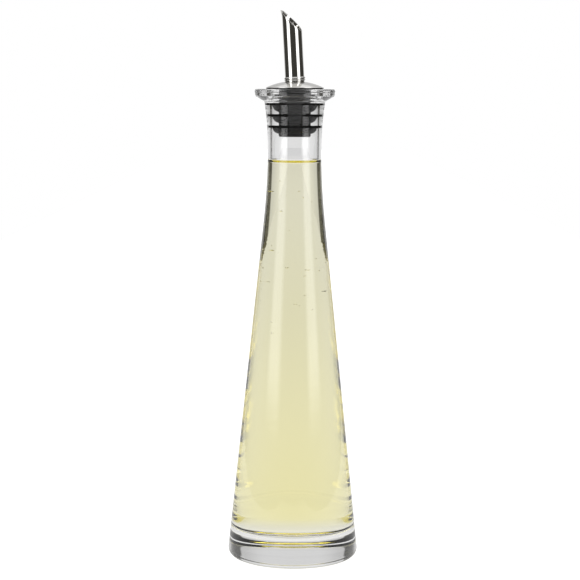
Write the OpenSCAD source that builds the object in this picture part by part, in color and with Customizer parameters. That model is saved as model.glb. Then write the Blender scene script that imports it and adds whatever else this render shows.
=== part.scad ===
// Glass oil bottle with a lift-out stainless steel pourer.
// Millimetres, +Z up, origin at the centre of the bottle's base.

/* [Bottle] */
// Height of the glass from the table to the top of the lip
bottle_h = 240; // [230:1:280]
// Diameter of the body's cone where it would meet the table
base_d = 67.6; // [62:0.1:70]
// Outer diameter of the neck at its narrowest
neck_d = 27.2; // [26.6:0.1:30]
// Inner diameter of the neck
bore_d = 23.6; // [23.2:0.1:24.2]
// Half-angle of the conical body, in degrees
cone_angle = 6.0; // [5.4:0.05:6.6]
// Thickness of the glass wall at the foot of the cone
foot_wall = 3.1; // [2.4:0.1:4]
// Height of the solid glass base, up to the edge of the cavity's floor
floor_h = 14.5; // [8:0.5:20]
// Radius of the rounded bottom edge
foot_round = 4; // [2:0.5:6]
// Depth of the hollow under the base
punt_depth = 1.2; // [0.6:0.1:3]

/* [Lip] */
// Diameter of the flat lip
lip_d = 40.9; // [38:0.1:46]
// Thickness of the lip at its rim
lip_t = 3.8; // [3:0.1:5]

/* [Oil] */
// Height of the oil's surface above the table
oil_level = 202; // [120:1:208]

/* [Pourer] */
// Diameter of the steel dome cap
cap_d = 29.6; // [28:0.2:34]
// Rise of the dome above its own rim
cap_rise = 3.35; // [2.4:0.05:5]
// Outer diameter of the spout tube
tube_d = 9.7; // [9.2:0.1:10.4]
// Wall of the spout tube
tube_wall = 0.4; // [0.3:0.05:0.6]
// Height of the spout's tip above the lip
tip_rise = 39.5; // [32:0.5:50]
// Lean of the spout towards -X, in degrees
spout_lean = 3.2; // [0:0.1:5]
// Slope of the oblique mouth, in degrees
mouth_slope = 47; // [35:1:55]
// Turn of the mouth from +X towards the front, in degrees
mouth_turn = 17; // [0:1:40]

/* [Stopper] */
// Diameter of the stopper's core
core_d = 16.2; // [14:0.1:18]
// Depth of the stopper below the top of the lip
stopper_depth = 23.8; // [23.2:0.1:26]
// Spacing of the three sealing fins
fin_pitch = 5.75; // [5:0.05:6]

/* [Hidden] */
$fn = 96;

// Running clearance between the steel tube and the rubber, and of a fin in the neck
running_gap = 0.05;
// Space left between the oil and the glass
oil_gap = 0.05;

// Bottle
foot_r = base_d / 2;
neck_r = neck_d / 2;
bore_r = bore_d / 2;
lip_r = lip_d / 2;
shoulder_round = 360;
flare_round = 140;
bearing_r = foot_r * 0.8;
lip_under_slope = 14;
lip_fillet = 2;
lip_edge = 0.9;
lip_taper = 0.3;
inner_foot_r = foot_r - foot_wall;
inner_angle = cone_angle - 0.3;
inner_round = 4;
floor_dome = 8;

// Pourer
cap_r = cap_d / 2;
cap_wall = 0.5;
cap_foot_z = bottle_h + 0.55;
cap_rim_z = cap_foot_z + 0.2;
cap_sphere_r = (cap_r * cap_r + cap_rise * cap_rise) / (2 * cap_rise);
cap_sphere_z = cap_rim_z + cap_rise - cap_sphere_r;
tube_r = tube_d / 2;
tube_bore_r = tube_r - tube_wall;
shank_r = tube_r - 0.1;
shank_bore_r = tube_bore_r - 0.05;
bend_z = bottle_h + 3.5;
bend_overlap = 0.3;
mouth_flare = 0.75;
flare_len = 4.5;
mouth_r = tube_r + mouth_flare;
spout_len = (bottle_h + tip_rise - bend_z + mouth_r * sin(spout_lean)) / cos(spout_lean);
collar_gap = 0.05;
collar_bottom = cap_rim_z + cap_rise - bend_z + collar_gap;
collar_h = 2.1;
collar_proud = 0.5;

// Stopper
core_r = core_d / 2;
stopper_z = bottle_h - stopper_depth;
fin_r = bore_r - running_gap;
fin_drop = 4.1;
fin_edge = 0.5;
fin_dish = 0.9;
fin_bulge = 0.5;
top_fin_z = bottle_h - 6.6;
head_r = cap_r - 0.3;
head_gap = 0.15;
crown_r = tube_r + 0.6;
crown_chamfer = 1.1;

// Air vent
vent_r = 1.1;
vent_bore_r = 0.75;
vent_y = shank_bore_r - vent_r - 0.15;
vent_elbow_z = bend_z + collar_bottom + collar_h + 0.4;
vent_rise = 40;
vent_stub = 3;

// Points along an arc about [cx, cz], from angle a0 to a1
function arc(cx, cz, r, a0, a1, steps) =
    [for (i = [0:steps]) let (a = a0 + (a1 - a0) * i / steps) [cx + r * cos(a), cz + r * sin(a)]];

// Distance from the axis to the centre of a round of radius r and height z,
// which is tangent on its outside to a cone of radius foot at z = 0
function round_centre(foot, angle, r, z) = foot - (r + z * sin(angle)) / cos(angle);

// Height at which the wide shoulder arc meets a neck of radius r
function shoulder_top(foot, angle, r) =
    (shoulder_round - (r + shoulder_round - foot) * cos(angle)) / sin(angle);

// Outside of the glass, from the centre of the base up to the top of the lip
function outer_outline() =
    let (punt_r = (bearing_r * bearing_r + punt_depth * punt_depth) / (2 * punt_depth),
         punt_half = asin(bearing_r / punt_r),
         foot_c = round_centre(foot_r, cone_angle, foot_round, foot_round),
         neck_z = shoulder_top(foot_r, cone_angle, neck_r),
         under_z = bottle_h - lip_t,
         fillet_z = under_z - (lip_r - neck_r) * 0.55,
         flare_a = asin((fillet_z - neck_z) / flare_round),
         flare_r = neck_r + flare_round * (1 - cos(flare_a)))
    concat(
        arc(0, punt_depth - punt_r, punt_r, 90, 90 - punt_half, 5),
        arc(foot_c, foot_round, foot_round, -90, cone_angle, 9),
        arc(neck_r + shoulder_round, neck_z, shoulder_round, 180 + cone_angle, 180, 10),
        arc(neck_r + flare_round, neck_z, flare_round, 180 - flare_a / 6, 180 - flare_a, 6),
        arc(flare_r + lip_fillet, fillet_z + 0.2, lip_fillet, 180 - flare_a, 90 + lip_under_slope, 5),
        arc(lip_r - lip_taper - lip_edge, under_z + lip_edge, lip_edge, -90 + lip_under_slope, 6, 4),
        arc(lip_r - lip_edge, bottle_h - lip_edge, lip_edge, 6, 90, 4));

// Cavity wall, from the top of a neck bore or an oil level z down to the floor's centre.
// The floor is a shallow dome that falls at the angle floor_dome to the round at its edge.
// inset moves the wall inwards.
function cavity_outline(z, inset) =
    let (foot = inner_foot_r - inset / cos(inner_angle),
         r = bore_r - inset,
         floor_z = floor_h + inset,
         neck_z = shoulder_top(foot, inner_angle, r),
         start_a = asin(max(0, neck_z - z) / shoulder_round),
         round_c = round_centre(foot, inner_angle, inner_round, floor_z + inner_round),
         dome_r = (round_c - inner_round * sin(floor_dome)) / sin(floor_dome),
         dome_z = floor_z + inner_round - (dome_r + inner_round) * cos(floor_dome))
    concat(
        z > neck_z ? [[r, z]] : [],
        arc(r + shoulder_round, neck_z, shoulder_round, 180 + start_a, 180 + inner_angle, 10),
        arc(round_c, floor_z + inner_round, inner_round, inner_angle, -90 - floor_dome, 7),
        arc(0, dome_z, dome_r, 90 - floor_dome * 4 / 5, 90, 4));

// Clear glass bottle with its solid base, narrow neck and flat lip
module bottle() {
    lip_bore_round = arc(bore_r + lip_edge, bottle_h - lip_edge, lip_edge, 90, 180, 4);
    color([0.84, 0.92, 0.90, 0.35])
        rotate_extrude()
            polygon(concat(outer_outline(), lip_bore_round, cavity_outline(bottle_h - 1, 0)));
}

// Oil that fills the cavity up to its level
module oil() {
    color([0.89, 0.85, 0.62, 0.8])
        rotate_extrude()
            polygon(concat([[0, oil_level]], cavity_outline(oil_level, oil_gap)));
}

// One sealing fin: a thin rim over a full, bowl-shaped underside
function fin_outline(z) =
    let (root = core_r - 0.5, rim = fin_r - fin_edge)
    concat(
        [[root, z - fin_dish], [fin_r, z], [fin_r, z - fin_edge]],
        [for (i = [0:5]) let (t = i / 5, bulge = fin_bulge * sin(180 * t))
            [rim + (core_r - rim) * t + bulge, z - fin_edge - (fin_drop - fin_edge) * t - bulge]],
        [[root, z - fin_drop]]);

// Core of the stopper and its head, which fills the dome cap and rests on the lip.
// The bore opens out at the top, where the spout starts to lean.
function core_outline() =
    let (bore = shank_r + running_gap,
         under_r = cap_sphere_r - cap_wall - head_gap,
         crown_a = acos(crown_r / under_r),
         crown_z = cap_sphere_z + under_r * sin(crown_a),
         chamfer = 0.8,
         seat_z = bottle_h + 0.02,
         edge_z = cap_foot_z - 0.1)
    concat(
        [[bore, stopper_z], [core_r - chamfer, stopper_z], [core_r, stopper_z + chamfer]],
        [[core_r, seat_z], [head_r, seat_z], [head_r, edge_z]],
        arc(0, cap_sphere_z, under_r, asin((edge_z - cap_sphere_z) / under_r), crown_a, 6),
        [[bore, crown_z - crown_chamfer]]);

// Black rubber stopper with three fins
module stopper() {
    color([0.12, 0.12, 0.12])
        union() {
            rotate_extrude() polygon(core_outline());
            for (i = [0:2])
                rotate_extrude() polygon(fin_outline(top_fin_z - i * fin_pitch));
        }
}

// Polished steel dome that covers the neck
module dome_cap() {
    hole_r = tube_r + 0.1;
    inner_r = cap_sphere_r - cap_wall;
    color([0.80, 0.81, 0.82])
        rotate_extrude()
            polygon(concat(
                arc(0, cap_sphere_z, cap_sphere_r, acos(hole_r / cap_sphere_r),
                    acos(cap_r / cap_sphere_r), 8),
                [[cap_r, cap_foot_z]],
                arc(0, cap_sphere_z, inner_r, asin((cap_foot_z - cap_sphere_z) / inner_r),
                    acos(hole_r / inner_r), 8)));
}

// Places its children in the leaning frame of the spout, from the bend up
module leaning() {
    translate([0, 0, bend_z]) rotate([0, -spout_lean, 0]) children();
}

// Solid of revolution inside the leaning spout: a tube of radius r with a flared mouth
module flared_rod(r, extra) {
    flare_r = (flare_len * flare_len + mouth_flare * mouth_flare) / (2 * mouth_flare);
    flare_a = asin(flare_len / flare_r);
    rotate_extrude()
        polygon(concat(
            [[0, -bend_overlap], [r, -bend_overlap]],
            arc(r + flare_r, spout_len - flare_len, flare_r, 180, 180 - flare_a, 6),
            [[r + mouth_flare, spout_len + extra], [0, spout_len + extra]]));
}

// Everything above the oblique mouth
module mouth_cut() {
    rotate([0, 0, -mouth_turn])
        translate([-mouth_r + tube_wall, 0, spout_len])
            rotate([0, mouth_slope, 0])
                translate([-20, -20, 0])
                    cube([60, 40, 40]);
}

// Axis of the air vent's outlet, as a rod of radius r and length len
module vent_outlet(r, len) {
    translate([0, vent_y, vent_elbow_z])
        rotate([vent_rise - 90, 0, 0])
            cylinder(r = r, h = len);
}

// Steel tube: an upright shank inside the rubber, a slightly wider leaning spout with
// an oblique mouth, and a small air hole at the back
module spout_tube() {
    color([0.74, 0.75, 0.76])
        difference() {
            union() {
                translate([0, 0, stopper_z])
                    cylinder(r = shank_r, h = bend_z - stopper_z + bend_overlap);
                leaning() flared_rod(tube_r, 0);
            }
            translate([0, 0, stopper_z - 1])
                cylinder(r = shank_bore_r, h = bend_z - stopper_z + 1 + bend_overlap);
            leaning() flared_rod(tube_bore_r, 1);
            leaning() mouth_cut();
            vent_outlet(vent_r + 0.03, 6);
        }
}

// Bead ring round the foot of the spout, which holds the dome cap down
module spout_collar() {
    inner = tube_r + 0.02;
    outer = tube_r + collar_proud;
    bead_r = collar_h / 2;
    color([0.70, 0.71, 0.72])
        leaning()
            rotate_extrude()
                polygon(concat(
                    [[inner, collar_bottom]],
                    [for (i = [0:8]) let (a = -90 + 180 * i / 8)
                        [outer - 0.3 + 0.3 * cos(a), collar_bottom + bead_r + bead_r * sin(a)]],
                    [[inner, collar_bottom + collar_h]]));
}

// Thin air tube down the back of the spout's bore, open below the stopper
module vent_tube() {
    color([0.60, 0.61, 0.62])
        difference() {
            union() {
                translate([0, vent_y, stopper_z])
                    cylinder(r = vent_r, h = vent_elbow_z - stopper_z);
                translate([0, vent_y, vent_elbow_z]) sphere(r = vent_r);
                vent_outlet(vent_r, vent_stub);
            }
            translate([0, vent_y, stopper_z - 1])
                cylinder(r = vent_bore_r, h = vent_elbow_z - stopper_z + 1);
            translate([0, vent_y, vent_elbow_z]) sphere(r = vent_bore_r);
            vent_outlet(vent_bore_r, vent_stub + 1);
        }
}

bottle();
oil();
stopper();
dome_cap();
spout_tube();
spout_collar();
vent_tube();
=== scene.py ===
import math
import random

import bmesh
import bpy
from mathutils import Matrix, Vector


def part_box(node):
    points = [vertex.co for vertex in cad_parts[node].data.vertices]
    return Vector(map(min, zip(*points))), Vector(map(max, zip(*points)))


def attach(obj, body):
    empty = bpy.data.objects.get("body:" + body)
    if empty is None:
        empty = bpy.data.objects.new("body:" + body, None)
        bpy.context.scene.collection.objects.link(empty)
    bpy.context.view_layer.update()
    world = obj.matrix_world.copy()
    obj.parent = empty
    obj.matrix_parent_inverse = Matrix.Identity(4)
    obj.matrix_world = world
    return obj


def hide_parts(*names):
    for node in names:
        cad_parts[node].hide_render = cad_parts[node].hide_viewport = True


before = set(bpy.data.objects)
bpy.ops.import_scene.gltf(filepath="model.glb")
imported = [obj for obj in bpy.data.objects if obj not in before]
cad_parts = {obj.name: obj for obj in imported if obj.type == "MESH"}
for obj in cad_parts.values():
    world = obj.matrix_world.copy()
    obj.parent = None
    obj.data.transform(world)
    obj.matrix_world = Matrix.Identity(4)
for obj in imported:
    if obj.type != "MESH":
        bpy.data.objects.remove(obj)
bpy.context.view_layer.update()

# A glass oil bottle with a lift-out steel pourer. Lengths are in millimetres in the outlines,
# and metres in Blender. +Z is up and the camera looks along +Y.
MM = 0.001

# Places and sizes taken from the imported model
BOTTLE_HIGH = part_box("bottle")[1]
OIL_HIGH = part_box("oil")[1]
STOPPER_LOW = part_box("stopper")[0]
CAP_LOW, CAP_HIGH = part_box("dome_cap")
BOTTLE_H = BOTTLE_HIGH.z / MM
OIL_LEVEL = OIL_HIGH.z / MM
STOPPER_Z = STOPPER_LOW.z / MM
CAP_R = CAP_HIGH.x / MM
CAP_FOOT_Z = CAP_LOW.z / MM

# The bottle's own sizes, as in the design
FOOT_R = 33.8
CONE_ANGLE = 6.0
NECK_R = 13.6
BORE_R = 11.8
FOOT_ROUND = 4.0
PUNT_DEPTH = 1.2
BEARING_R = FOOT_R * 0.8
SHOULDER_ROUND = 360.0
FLARE_ROUND = 140.0
LIP_R = 20.45
LIP_T = 3.8
LIP_EDGE = 0.9
LIP_RING_PITCH = 1.27
LIP_RING_DEPTH = 0.12
INNER_FOOT_R = FOOT_R - 3.1
INNER_ANGLE = CONE_ANGLE - 0.3
INNER_ROUND = 4.0
FLOOR_H = 14.5
FLOOR_DOME = 8.0

# The pourer's own sizes
TUBE_R = 4.85
TUBE_WALL = 0.4
SHANK_R = TUBE_R - 0.1
LEAN = 3.2
BEND_Z = BOTTLE_H + 3.5
MOUTH_SLOPE = 47.0
MOUTH_TURN = 17.0
MOUTH_FLARE = 0.75
FLARE_LEN = 4.5
RIM_ROUND = 0.2
MOUTH_R = TUBE_R + MOUTH_FLARE
TIP_RISE = BOTTLE_H + 39.5 - BEND_Z
SPOUT_LEN = (TIP_RISE + MOUTH_R * math.sin(math.radians(LEAN))) / math.cos(math.radians(LEAN))
CAP_RISE = 3.35
CAP_WALL = 0.5
COLLAR_Z = CAP_FOOT_Z + 0.2 + CAP_RISE + 0.05 - BEND_Z
COLLAR_H = 2.1
COLLAR_PROUD = 0.5
CORE_R = 8.1
CROWN_R = TUBE_R + 0.6
CROWN_CHAMFER = 1.1
FIN_RIM_R = BORE_R + 0.1
FIN_EDGE = 1.2
FIN_DROP = 4.1
TOP_FIN_Z = BOTTLE_H - 6.6
FIN_PITCH = 5.75

# Steps round a surface of revolution
SEGMENTS = 192

GLASS_IOR = 1.52
OIL_IOR = 1.47
OIL_GAP = 0.03
OIL_COLOUR = (0.99, 0.9, 0.0, 1)
OIL_DENSITY = 11.4
GLASS_WAVE = 0.02
MENISCUS_RISE = 2.4
MENISCUS_REACH = 3.4
FILM = 0.02
BUBBLES = 60


# ---------------------------------------------------------------- outlines

def arc(cx, cz, r, start, end, steps):
    """Points [x, z] along an arc, with its angles in degrees."""
    angles = [math.radians(start + (end - start) * i / steps) for i in range(steps + 1)]
    return [(cx + r * math.cos(a), cz + r * math.sin(a)) for a in angles]


def line(a, b, steps):
    """Points from a to b, both left out, so that a long side can ripple."""
    return [(a[0] + (b[0] - a[0]) * i / steps, a[1] + (b[1] - a[1]) * i / steps)
            for i in range(1, steps)]


def round_centre(foot, angle, r, z):
    """Radius at which a round of radius r, centred at height z, touches a cone from inside."""
    a = math.radians(angle)
    return foot - (r + z * math.sin(a)) / math.cos(a)


def shoulder_top(foot, angle, r):
    """Height at which the wide shoulder arc meets the straight neck of radius r."""
    a = math.radians(angle)
    return (SHOULDER_ROUND - (r + SHOULDER_ROUND - foot) * math.cos(a)) / math.sin(a)


def outer_outline():
    """Outside of the glass, from the middle of the base up to the bore's edge at the lip."""
    punt_r = (BEARING_R ** 2 + PUNT_DEPTH ** 2) / (2 * PUNT_DEPTH)
    punt_half = math.degrees(math.asin(BEARING_R / punt_r))
    foot_c = round_centre(FOOT_R, CONE_ANGLE, FOOT_ROUND, FOOT_ROUND)
    neck_z = shoulder_top(FOOT_R, CONE_ANGLE, NECK_R)
    under_z = BOTTLE_H - LIP_T
    fillet_z = under_z - (LIP_R - NECK_R) * 0.55
    flare = math.degrees(math.asin((fillet_z - neck_z) / FLARE_ROUND))
    flare_r = NECK_R + FLARE_ROUND * (1 - math.cos(math.radians(flare)))
    foot = arc(foot_c, FOOT_ROUND, FOOT_ROUND, -90, CONE_ANGLE, 9)
    shoulder = arc(NECK_R + SHOULDER_ROUND, neck_z, SHOULDER_ROUND, 180 + CONE_ANGLE, 180, 28)
    return (arc(0, PUNT_DEPTH - punt_r, punt_r, 90, 90 - punt_half, 14)
            + foot
            + line(foot[-1], shoulder[0], 90)
            + shoulder
            + arc(NECK_R + FLARE_ROUND, neck_z, FLARE_ROUND, 180 - flare / 14, 180 - flare, 14)
            + arc(flare_r + 2, fillet_z + 0.2, 2, 180 - flare, 104, 9)
            + lip_rim(under_z)
            + arc(BORE_R + LIP_EDGE, BOTTLE_H - LIP_EDGE, LIP_EDGE, 90, 180, 8))


def lip_rim(under_z):
    """Rim of the lip, with the shallow rings that its mould leaves."""
    low = arc(LIP_R - 0.3 - LIP_EDGE, under_z + LIP_EDGE, LIP_EDGE, -76, 6, 8)
    high = arc(LIP_R - LIP_EDGE, BOTTLE_H - LIP_EDGE, LIP_EDGE, 6, 90, 8)
    rim = low + line(low[-1], high[0], 12) + high
    return [(r - LIP_RING_DEPTH * math.sin(math.pi * (z - under_z) / LIP_RING_PITCH) ** 2, z)
            for r, z in rim]


def cavity_outline(top_z, inset):
    """Wall of the cavity from top_z down to the middle of its floor, moved inwards by inset."""
    foot = INNER_FOOT_R - inset / math.cos(math.radians(INNER_ANGLE))
    r = BORE_R - inset
    neck_z = shoulder_top(foot, INNER_ANGLE, r)
    floor_z = FLOOR_H + inset
    start = math.degrees(math.asin(max(0.0, neck_z - top_z) / SHOULDER_ROUND))
    round_c = round_centre(foot, INNER_ANGLE, INNER_ROUND, floor_z + INNER_ROUND)
    bore = line((r, top_z), (r, neck_z), 12) if top_z > neck_z else []
    shoulder = arc(r + SHOULDER_ROUND, neck_z, SHOULDER_ROUND, 180 + start, 180 + INNER_ANGLE, 28)
    corner = arc(round_c, floor_z + INNER_ROUND, INNER_ROUND, INNER_ANGLE, -90 - FLOOR_DOME, 16)
    tilt = math.radians(FLOOR_DOME)
    dome_r = (round_c - INNER_ROUND * math.sin(tilt)) / math.sin(tilt)
    dome_z = floor_z + INNER_ROUND - (dome_r + INNER_ROUND) * math.cos(tilt)
    dome = arc(0, dome_z, dome_r, 90 - FLOOR_DOME * 0.9, 90, 12)
    return bore + shoulder + line(shoulder[-1], corner[0], 90) + corner + dome


# ---------------------------------------------------------------- meshes

def lathe(name, outline, loop=False, lean=False):
    """A surface of revolution. An outline point on the axis is one vertex. loop joins the
    outline's last point to its first, and lean puts it in the leaning frame of the spout."""
    verts = []
    rings = []
    for r, z in outline:
        count = 1 if r < 1e-6 else SEGMENTS
        rings.append([len(verts) + i for i in range(count)])
        for i in range(count):
            a = 2 * math.pi * i / SEGMENTS
            place = (r * math.cos(a), r * math.sin(a), z)
            verts.append(Vector(leaning(*place) if lean else place) * MM)
    faces = []
    pairs = list(zip(rings, rings[1:]))
    if loop:
        pairs.append((rings[-1], rings[0]))
    for low, high in pairs:
        for i in range(SEGMENTS):
            j = (i + 1) % SEGMENTS
            if len(low) == 1:
                faces.append((low[0], high[i], high[j]))
            elif len(high) == 1:
                faces.append((low[i], high[0], low[j]))
            else:
                faces.append((low[i], high[i], high[j], low[j]))
    return new_object(name, verts, faces)


def leaning(x, y, s):
    """From the spout's own frame, where s is the way along it from the bend, to the bottle's."""
    a = math.radians(LEAN)
    if s < 0:
        return (x, y, BEND_Z + s)
    return (x * math.cos(a) - s * math.sin(a), y, BEND_Z + x * math.sin(a) + s * math.cos(a))


def new_object(name, verts, faces):
    """An object from plain lists, with its normals outwards and its faces smooth."""
    mesh = bpy.data.meshes.new(name)
    mesh.from_pydata(verts, [], faces)
    mesh.validate()
    obj = bpy.data.objects.new(name, mesh)
    bpy.context.scene.collection.objects.link(obj)
    face_outwards(mesh)
    mesh.shade_smooth()
    mesh.set_sharp_from_angle(angle=math.radians(38))
    return obj


def face_outwards(mesh):
    work = bmesh.new()
    work.from_mesh(mesh)
    bmesh.ops.recalc_face_normals(work, faces=work.faces)
    work.to_mesh(mesh)
    work.free()


# ---------------------------------------------------------------- materials

def principled(name, **values):
    """A Principled material with plain values on its own sockets."""
    mat = bpy.data.materials.new(name)
    mat.use_nodes = True
    shader = mat.node_tree.nodes["Principled BSDF"]
    for key, value in values.items():
        shader.inputs[key.replace("_", " ")].default_value = value
    return mat, mat.node_tree, shader


def object_place(tree, scale=(1, 1, 1)):
    """The place on the object in metres, stretched by scale."""
    coord = tree.nodes.new("ShaderNodeTexCoord")
    node = tree.nodes.new("ShaderNodeMapping")
    node.inputs["Scale"].default_value = scale
    tree.links.new(coord.outputs["Object"], node.inputs["Vector"])
    return node.outputs["Vector"]


def add_noise(tree, scale, detail=2.0):
    node = tree.nodes.new("ShaderNodeTexNoise")
    node.inputs["Scale"].default_value = 1.0
    node.inputs["Detail"].default_value = detail
    tree.links.new(object_place(tree, scale), node.inputs["Vector"])
    return node.outputs["Fac"]


def add_bump(tree, shader, height, distance):
    node = tree.nodes.new("ShaderNodeBump")
    node.inputs["Distance"].default_value = distance
    node.inputs["Strength"].default_value = 1.0
    tree.links.new(height, node.inputs["Height"])
    tree.links.new(node.outputs["Normal"], shader.inputs["Normal"])


def blend_colours(tree, shader, factor, first, second):
    node = tree.nodes.new("ShaderNodeMix")
    node.data_type = "RGBA"
    tree.links.new(factor, node.inputs[0])
    node.inputs[6].default_value = (*first, 1)
    node.inputs[7].default_value = (*second, 1)
    tree.links.new(node.outputs[2], shader.inputs["Base Color"])


def height_up(tree):
    """Height above the table in metres."""
    split = tree.nodes.new("ShaderNodeSeparateXYZ")
    tree.links.new(object_place(tree), split.inputs["Vector"])
    return split.outputs["Z"]


def make_glass():
    """Clear glass with the slight waviness of a blown wall, which fades towards base and lip."""
    mat, tree, shader = principled(
        "clear_glass", Base_Color=(1, 1, 1, 1), Roughness=0.0, IOR=GLASS_IOR,
        Transmission_Weight=1.0)
    z = height_up(tree)
    above_base = map_range(tree, z, 0.030, 0.060, 0, 1)
    below_neck = map_range(tree, z, 0.196, 0.206, 1, 0)
    body = math_node(tree, "MULTIPLY", above_base, below_neck)
    waves = math_node(tree, "MULTIPLY", add_noise(tree, (110, 110, 330), 3.0), body)
    add_bump(tree, shader, waves, GLASS_WAVE * MM)
    return mat


def make_glass_to_oil():
    """The wetted wall, where only the small step from glass to oil bends the light."""
    mat, tree, shader = principled(
        "glass_against_oil", Base_Color=(1, 1, 1, 1), Roughness=0.0,
        IOR=GLASS_IOR / OIL_IOR, Transmission_Weight=1.0)
    add_bump(tree, shader, add_noise(tree, (160, 160, 500), 3.0), GLASS_WAVE * MM)
    return mat


def make_oil():
    """The oil's body. Its sides meet the glass, which already bends the light there."""
    mat, tree, shader = principled(
        "pale_oil", Base_Color=(1, 1, 1, 1), Roughness=0.0, IOR=1.0, Transmission_Weight=1.0)
    volume = tree.nodes.new("ShaderNodeVolumeAbsorption")
    volume.inputs["Color"].default_value = OIL_COLOUR
    volume.inputs["Density"].default_value = OIL_DENSITY
    tree.links.new(volume.outputs["Volume"], tree.nodes["Material Output"].inputs["Volume"])
    return mat


def make_oil_surface():
    mat, tree, shader = principled(
        "oil_surface", Base_Color=(1, 1, 1, 1), Roughness=0.0, IOR=OIL_IOR,
        Transmission_Weight=1.0)
    add_bump(tree, shader, add_noise(tree, (90, 90, 90)), 0.01 * MM)
    return mat


def make_pass_through():
    """Underside of the surface film, which light crosses unbent."""
    mat, tree, shader = principled(
        "oil_underside", Base_Color=(1, 1, 1, 1), Roughness=0.0, IOR=1.0,
        Transmission_Weight=1.0)
    return mat


def make_bubble():
    """Air in the oil."""
    mat, tree, shader = principled(
        "air_bubble", Base_Color=(1, 1, 1, 1), Roughness=0.0, IOR=1 / OIL_IOR,
        Transmission_Weight=1.0)
    return mat


def make_rubber():
    """Moulded black rubber, a little dusty and with a fine grain."""
    mat, tree, shader = principled("black_rubber", Roughness=0.5)
    shader.inputs["Specular IOR Level"].default_value = 0.06
    clouds = add_noise(tree, (260, 260, 260), 4.0)
    blend_colours(tree, shader, clouds, (0.003, 0.003, 0.003), (0.008, 0.008, 0.008))
    tree.links.new(map_range(tree, clouds, 0.3, 0.7, 0.42, 0.62), shader.inputs["Roughness"])
    add_bump(tree, shader, add_noise(tree, (2600, 2600, 2600), 3.0), 0.02 * MM)
    return mat


def make_steel(name, colour, darker, low, high, scale):
    """Polished steel with fine lines and faint smears. scale sets the way the lines run."""
    mat, tree, shader = principled(name, Metallic=1.0)
    smears = add_noise(tree, (140, 140, 140), 4.0)
    lines = add_noise(tree, scale, 2.0)
    blend_colours(tree, shader, map_range(tree, smears, 0.35, 0.65, 0, 1), darker, colour)
    tree.links.new(map_range(tree, lines, 0.3, 0.7, low, high), shader.inputs["Roughness"])
    add_bump(tree, shader, lines, 0.0015 * MM)
    return mat


# ---------------------------------------------------------------- pieces

def set_piece(obj, body, node):
    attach(obj, body)
    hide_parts(node)
    return obj


def build_bottle():
    """Clear glass. The wall that the oil wets is a face set with the two liquids' own index."""
    outer = outer_outline()
    obj = lathe("bottle_glass", outer + cavity_outline(BOTTLE_H - 1, 0))
    obj.data.materials.append(make_glass())
    obj.data.materials.append(make_glass_to_oil())
    wet_z = (OIL_LEVEL + MENISCUS_RISE) * MM
    for face in obj.data.polygons:
        in_cavity = face.index // SEGMENTS >= len(outer)
        face.material_index = 1 if in_cavity and face.center.z < wet_z else 0
    return set_piece(obj, "bottle", "bottle")


def oil_top(edge_r):
    """The oil's surface from its middle to the glass, which draws its edge up."""
    steps = 24
    radii = [edge_r * i / steps for i in range(steps + 1)]
    return [(r, OIL_LEVEL + MENISCUS_RISE * math.exp((r - edge_r) / MENISCUS_REACH))
            for r in radii]


def build_oil():
    """The oil's body, and on it a thin film that bends the light where oil meets air."""
    wall = cavity_outline(OIL_LEVEL + MENISCUS_RISE, OIL_GAP)
    top = oil_top(wall[0][0])
    body = lathe("oil_body", top + wall[1:])
    film_low = [(r, z + FILM) for r, z in top]
    film_high = [(r, z + 2 * FILM) for r, z in reversed(top)]
    film = lathe("oil_film", film_low + film_high)
    film_start = len(body.data.polygons)
    film_top = film_start + (len(top) - 1) * SEGMENTS
    obj = join("oil_filling", [body, film])
    obj.data.materials.append(make_oil())
    obj.data.materials.append(make_oil_surface())
    obj.data.materials.append(make_pass_through())
    for face in obj.data.polygons:
        if face.index >= film_top:
            face.material_index = 1
        elif face.index >= film_start:
            face.material_index = 2
    return set_piece(obj, "bottle", "oil")


def build_bubbles():
    """Small flat air bubbles that cling to the glass in the upper oil."""
    rng = random.Random(7)
    verts = []
    faces = []
    rows, columns = 5, 8
    for _ in range(BUBBLES):
        z = 112 + 84 * rng.random() ** 0.8
        wall_r = cavity_outline(z, 0)[0][0]
        a = rng.uniform(0, 2 * math.pi)
        size = rng.uniform(0.14, 0.34)
        centre = Vector(((wall_r - 2 * size) * math.cos(a), (wall_r - 2 * size) * math.sin(a), z))
        along = Vector((-math.sin(a), math.cos(a), 0)) * size * rng.uniform(1.0, 1.9)
        out = Vector((math.cos(a), math.sin(a), 0)) * size
        start = len(verts)
        for i in range(1, rows):
            polar = math.pi * i / rows
            for j in range(columns):
                turn = 2 * math.pi * j / columns
                flat = (along * math.cos(turn) + out * math.sin(turn)) * math.sin(polar)
                verts.append((centre + flat + Vector((0, 0, size * math.cos(polar)))) * MM)
        top = len(verts)
        verts.append((centre + Vector((0, 0, size))) * MM)
        verts.append((centre - Vector((0, 0, size))) * MM)
        last = start + (rows - 2) * columns
        for j in range(columns):
            k = (j + 1) % columns
            faces.append((top, start + j, start + k))
            faces.append((top + 1, last + k, last + j))
            for i in range(rows - 2):
                row = start + i * columns
                faces.append((row + j, row + columns + j, row + columns + k, row + k))
    obj = new_object("oil_bubbles", verts, faces)
    obj.data.materials.append(make_bubble())
    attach(obj, "bottle")
    return obj


def fin_outline(z):
    """One sealing fin: a thin rim over a bowl-shaped underside."""
    root = CORE_R - 0.5
    steps = 12
    under = []
    for i in range(steps + 1):
        t = i / steps
        bulge = 0.5 * math.sin(math.pi * t)
        under.append((FIN_RIM_R - 0.6 + (CORE_R - FIN_RIM_R + 0.6) * t + bulge,
                      z - FIN_EDGE - (FIN_DROP - FIN_EDGE) * t - bulge))
    return ([(root, z - 0.9), (FIN_RIM_R, z), (FIN_RIM_R, z - FIN_EDGE)]
            + under + [(root, z - FIN_DROP)])


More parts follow.
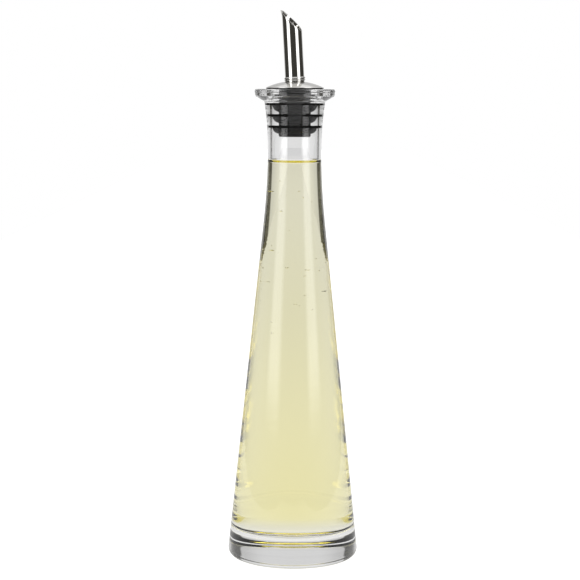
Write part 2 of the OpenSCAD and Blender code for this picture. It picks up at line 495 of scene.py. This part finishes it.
def dome_sphere():
    """Radius of the dome's sphere and height of its centre."""
    r = (CAP_R ** 2 + CAP_RISE ** 2) / (2 * CAP_RISE)
    return r, CAP_FOOT_Z + 0.2 + CAP_RISE - r


def build_stopper():
    bore = SHANK_R + 0.05
    sphere_r, sphere_z = dome_sphere()
    under_r = sphere_r - CAP_WALL - 0.15
    seat_z = BOTTLE_H + 0.02
    edge_z = CAP_FOOT_Z - 0.1
    head_r = CAP_R - 0.3
    start = math.degrees(math.asin((edge_z - sphere_z) / under_r))
    end = math.degrees(math.acos(CROWN_R / under_r))
    crown = arc(0, sphere_z, under_r, start, end, 16)
    core = ([(bore, STOPPER_Z), (CORE_R - 0.8, STOPPER_Z)]
            + arc(CORE_R - 0.8, STOPPER_Z + 0.8, 0.8, -80, 0, 6)
            + [(CORE_R, seat_z), (head_r, seat_z), (head_r, edge_z)]
            + crown + [(bore, crown[-1][1] - CROWN_CHAMFER)])
    parts = [lathe("stopper_core", core, loop=True)]
    for i in range(3):
        parts.append(lathe(f"fin_{i}", fin_outline(TOP_FIN_Z - i * FIN_PITCH), loop=True))
    obj = join("stopper_rubber", parts)
    obj.data.materials.append(make_rubber())
    return set_piece(obj, "stopper", "stopper")


def join(name, parts):
    """Joins meshes into one object by hand, without operators."""
    verts = []
    faces = []
    for part in parts:
        base = len(verts)
        verts += [tuple(v.co) for v in part.data.vertices]
        faces += [tuple(base + i for i in p.vertices) for p in part.data.polygons]
        bpy.data.objects.remove(part)
    return new_object(name, verts, faces)


def build_dome(steel):
    """A shallow pressed dome with a small rolled rim and a hole for the spout."""
    sphere_r, sphere_z = dome_sphere()
    hole = TUBE_R + 0.1
    inner = sphere_r - CAP_WALL
    top = arc(0, sphere_z, sphere_r, math.degrees(math.acos(hole / sphere_r)),
              math.degrees(math.acos((CAP_R - 0.15) / sphere_r)), 40)
    under = arc(0, sphere_z, inner, math.degrees(math.asin((CAP_FOOT_Z - sphere_z) / inner)),
                math.degrees(math.acos(hole / inner)), 16)
    rim = [(CAP_R, CAP_FOOT_Z + 0.15), (CAP_R, CAP_FOOT_Z + 0.05), (CAP_R - 0.08, CAP_FOOT_Z)]
    obj = lathe("dome_steel", top + rim + under, loop=True)
    obj.data.materials.append(steel)
    return set_piece(obj, "spout", "dome_cap")


def build_collar(steel):
    """The bead ring round the foot of the spout, with a narrow groove under its round."""
    inner = TUBE_R + 0.02
    outer = TUBE_R + COLLAR_PROUD
    half = COLLAR_H / 2
    bead = arc(outer - half * 0.6, COLLAR_Z + COLLAR_H - half * 0.75, half * 0.6, -70, 80, 14)
    foot = arc(outer - 0.25, COLLAR_Z + 0.3, 0.25, -80, 60, 6)
    obj = lathe("collar_steel", [(inner, COLLAR_Z)] + foot + bead + [(inner, COLLAR_Z + COLLAR_H)],
                loop=True, lean=True)
    obj.data.materials.append(steel)
    return set_piece(obj, "spout", "spout_collar")


def spout_radius(s):
    """Outer radius of the spout at s along it, with its flare at the mouth."""
    flare_r = (FLARE_LEN ** 2 + MOUTH_FLARE ** 2) / (2 * MOUTH_FLARE)
    into = max(0.0, s - (SPOUT_LEN - FLARE_LEN))
    return TUBE_R + flare_r - math.sqrt(flare_r ** 2 - into ** 2)


def mouth_height(angle, inset):
    """Where the oblique mouth cuts the wall at an angle round it, and the radius there."""
    fall = math.tan(math.radians(MOUTH_SLOPE))
    s = SPOUT_LEN
    for _ in range(12):
        across = (spout_radius(s) - inset) * math.cos(angle + math.radians(MOUTH_TURN))
        s = min(SPOUT_LEN, SPOUT_LEN - fall * (across + MOUTH_R - TUBE_WALL))
    return s, spout_radius(s) - inset


def spout_side(angle):
    """Outline (radius, way along) of the tube's wall at one angle: up outside, round the
    rim, and down inside."""
    foot = STOPPER_Z - BEND_Z
    steps = 24
    out_s, out_r = mouth_height(angle, 0)
    in_s, in_r = mouth_height(angle, TUBE_WALL)
    side = [(SHANK_R, foot), (SHANK_R, -0.2), (TUBE_R, 0.01)]
    for i in range(1, steps + 1):
        s = (out_s - RIM_ROUND) * i / steps
        side.append((spout_radius(s), s))
    for i in range(1, 6):
        turn = math.pi * i / 6
        mix = (1 - math.cos(turn)) / 2
        s = out_s + (in_s - out_s) * mix
        side.append((out_r + (in_r - out_r) * mix, s - RIM_ROUND + RIM_ROUND * math.sin(turn)))
    for i in range(steps, 0, -1):
        s = (in_s - RIM_ROUND) * i / steps
        side.append((spout_radius(s) - TUBE_WALL, s))
    bore_r = TUBE_R - TUBE_WALL - 0.05
    side += [(TUBE_R - TUBE_WALL, 0.01), (bore_r, -0.2), (bore_r, foot)]
    return side


def build_spout(steel):
    """The steel tube: an upright shank in the rubber, and a leaning spout with a flared tip
    and an oblique mouth."""
    verts = []
    faces = []
    for i in range(SEGMENTS):
        a = 2 * math.pi * i / SEGMENTS
        side = spout_side(a)
        verts += [Vector(leaning(r * math.cos(a), r * math.sin(a), s)) * MM for r, s in side]
    count = len(side)
    for i in range(SEGMENTS):
        here = i * count
        there = (i + 1) % SEGMENTS * count
        for k in range(count):
            m = (k + 1) % count
            faces.append((here + k, there + k, there + m, here + m))
    obj = new_object("spout_steel", verts, faces)
    obj.data.materials.append(steel)
    return set_piece(obj, "spout", "spout_tube")


def show_cad(name, mat):
    """Keeps a CAD node and gives it a better material."""
    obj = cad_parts[name]
    obj.data.materials.clear()
    obj.data.materials.append(mat)


# ---------------------------------------------------------------- stage

def build_floor():
    """A sheet of paper, long behind and narrow at the sides, grey in itself. It glows for the camera,
    so that it shows as plain white. For all other rays it has a painted glow that stands in for the
    light on it: brightest round the bottle, much dimmer towards the front and a little dimmer behind."""
    half = 0.48
    corners = [(-half, -1.3, 0), (half, -1.3, 0), (half, 7, 0), (-half, 7, 0)]
    obj = new_object("table_top", corners, [(0, 1, 2, 3)])
    if obj.data.polygons[0].normal.z < 0:
        obj.data.flip_normals()
    mat, tree, shader = principled("table_painted_glow", Base_Color=(0.3, 0.3, 0.3, 1), Roughness=0.8)
    shader.inputs["Specular IOR Level"].default_value = 0.0
    shader.inputs["Emission Color"].default_value = (1, 1, 1, 1)
    place = tree.nodes.new("ShaderNodeTexCoord")
    split = tree.nodes.new("ShaderNodeSeparateXYZ")
    tree.links.new(place.outputs["Object"], split.inputs["Vector"])
    # Painted light: the glow that rays other than the camera's see, strongest round the bottle, fading
    # towards the front and a little behind
    front = map_range(tree, split.outputs["Y"], -1.25, -0.35, 0.12, 0.55)
    back = map_range(tree, split.outputs["Y"], 0.1, 0.6, 1, 0.86)
    fall = math_node(tree, "MULTIPLY", front, back)
    path = tree.nodes.new("ShaderNodeLightPath")
    glow = tree.nodes.new("ShaderNodeMix")
    glow.data_type = "FLOAT"
    tree.links.new(path.outputs["Is Camera Ray"], glow.inputs[0])
    tree.links.new(fall, glow.inputs[2])
    glow.inputs[3].default_value = 1.0
    tree.links.new(glow.outputs[0], shader.inputs["Emission Strength"])
    obj.data.materials.append(mat)
    return obj


def build_camera():
    """Level with the lip, 0.88 m in front of the axis, looking 6.4 degrees down."""
    cam = bpy.data.cameras.new("camera")
    cam.sensor_width = 36
    cam.lens = 107.4
    obj = bpy.data.objects.new("camera", cam)
    bpy.context.scene.collection.objects.link(obj)
    obj.location = (0, -0.88, 0.236)
    pitch = math.radians(6.36)
    yaw = math.radians(0.13)
    roll = math.radians(0.28)
    look = Matrix.Rotation(yaw, 4, "Z") @ Matrix.Rotation(math.radians(90) - pitch, 4, "X")
    obj.matrix_world = (Matrix.Translation(obj.location) @ look @ Matrix.Rotation(roll, 4, "Z"))
    bpy.context.scene.camera = obj
    return obj


def math_node(tree, operation, a, b=None, clamp=False):
    node = tree.nodes.new("ShaderNodeMath")
    node.operation = operation
    node.use_clamp = clamp
    for socket, value in zip(node.inputs, (a, b)):
        if value is None:
            continue
        if isinstance(value, (int, float)):
            socket.default_value = value
        else:
            tree.links.new(value, socket)
    return node.outputs[0]


def map_range(tree, value, low, high, to_low, to_high):
    """A smooth ramp from to_low at low to to_high at high."""
    node = tree.nodes.new("ShaderNodeMapRange")
    node.interpolation_type = "SMOOTHSTEP"
    tree.links.new(value, node.inputs["Value"])
    for key, number in (("From Min", low), ("From Max", high), ("To Min", to_low), ("To Max", to_high)):
        node.inputs[key].default_value = number
    return node.outputs["Result"]


def build_world():
    """A bright backdrop behind, dark sides near the horizon, a dim room in front, and a pale
    ceiling. What the camera sees directly is plain white."""
    world = bpy.data.worlds.new("studio")
    bpy.context.scene.world = world
    world.use_nodes = True
    tree = world.node_tree
    background = tree.nodes["Background"]
    coord = tree.nodes.new("ShaderNodeTexCoord")
    split = tree.nodes.new("ShaderNodeSeparateXYZ")
    tree.links.new(coord.outputs["Generated"], split.inputs["Vector"])
    x, y, z = split.outputs
    side = math_node(tree, "ABSOLUTE", x)
    # 0 behind the object, 180 towards the camera
    turn = math_node(tree, "ARCTAN2", side, y)
    path = tree.nodes.new("ShaderNodeLightPath")
    fade = map_range(tree, turn, math.radians(15), math.radians(40), 0.8, 0.6)
    edge = map_range(tree, turn, math.radians(40), math.radians(44), 1, 0)
    dimmer = map_range(tree, z, math.sin(math.radians(4)), math.sin(math.radians(11)), 1, 0.76)
    backdrop = math_node(tree, "MULTIPLY", math_node(tree, "MULTIPLY", fade, edge), dimmer)
    high = map_range(tree, z, math.sin(math.radians(20)), math.sin(math.radians(40)), 0, 1)
    sides = map_range(tree, turn, math.radians(58), math.radians(84), 0, 0.65)
    front = map_range(tree, turn, math.radians(120), math.radians(165), 1, 0.5)
    through = math_node(tree, "MULTIPLY", math_node(tree, "MULTIPLY", sides, front),
                        path.outputs["Is Transmission Ray"])
    level = math_node(tree, "MAXIMUM", math_node(tree, "MAXIMUM", backdrop, high), through)
    direct = tree.nodes.new("ShaderNodeMix")
    direct.data_type = "FLOAT"
    tree.links.new(path.outputs["Is Camera Ray"], direct.inputs[0])
    tree.links.new(level, direct.inputs[2])
    direct.inputs[3].default_value = 1.0
    tone = tree.nodes.new("ShaderNodeMix")
    tone.data_type = "RGBA"
    tree.links.new(direct.outputs[0], tone.inputs[0])
    tone.inputs[6].default_value = (0.056, 0.054, 0.048, 1)
    tone.inputs[7].default_value = (1, 1, 1, 1)
    tree.links.new(tone.outputs[2], background.inputs["Color"])
    background.inputs["Strength"].default_value = 1.0
    return world


def add_softbox(name, azimuth, low_z, high_z, width, distance, radiance):
    """A tall glowing sheet with soft edges, its azimuth counted from the camera's side
    towards +X. The camera doesn't see it."""
    half = width / 2
    corners = [(-half, 0, low_z), (half, 0, low_z), (half, 0, high_z), (-half, 0, high_z)]
    obj = new_object(name, corners, [(0, 1, 2, 3)])
    a = math.radians(azimuth)
    obj.matrix_world = (Matrix.Translation((math.sin(a) * distance, -math.cos(a) * distance, 0))
                        @ Matrix.Rotation(a, 4, "Z"))
    mat = bpy.data.materials.new(name)
    mat.use_nodes = True
    tree = mat.node_tree
    tree.nodes.remove(tree.nodes["Principled BSDF"])
    glow = tree.nodes.new("ShaderNodeEmission")
    split = tree.nodes.new("ShaderNodeSeparateXYZ")
    tree.links.new(object_place(tree), split.inputs["Vector"])
    across = math_node(tree, "ABSOLUTE", split.outputs["X"])
    sides = map_range(tree, across, half * 0.3, half, radiance, 0)
    foot = map_range(tree, split.outputs["Z"], low_z, low_z + 0.12, 0, 1)
    tree.links.new(math_node(tree, "MULTIPLY", sides, foot), glow.inputs["Strength"])
    tree.links.new(glow.outputs[0], tree.nodes["Material Output"].inputs["Surface"])
    obj.data.materials.append(mat)
    obj.visible_camera = False
    return obj


def build_lights():
    add_softbox("softbox_left", -50, 0.04, 1.6, 1.1, 1.3, 2.9)
    add_softbox("softbox_right", 52, 0.04, 1.6, 1.05, 1.3, 2.9)


def set_view():
    scene = bpy.context.scene
    scene.view_settings.view_transform = "Standard"
    scene.cycles.max_bounces = 32
    scene.cycles.transmission_bounces = 32
    scene.cycles.transparent_max_bounces = 32
    scene.cycles.glossy_bounces = 12


build_camera()
build_world()
build_lights()
build_floor()
set_view()
cap_steel = make_steel("polished_steel", (0.76, 0.75, 0.73), (0.7, 0.69, 0.67), 0.06, 0.12,
                       (900, 900, 900))
tube_steel = make_steel("drawn_steel", (0.74, 0.73, 0.71), (0.66, 0.65, 0.62), 0.05, 0.11,
                        (2400, 2400, 120))
build_bottle()
build_oil()
build_bubbles()
build_stopper()
build_dome(cap_steel)
build_collar(cap_steel)
build_spout(tube_steel)
show_cad("vent_tube", tube_steel)
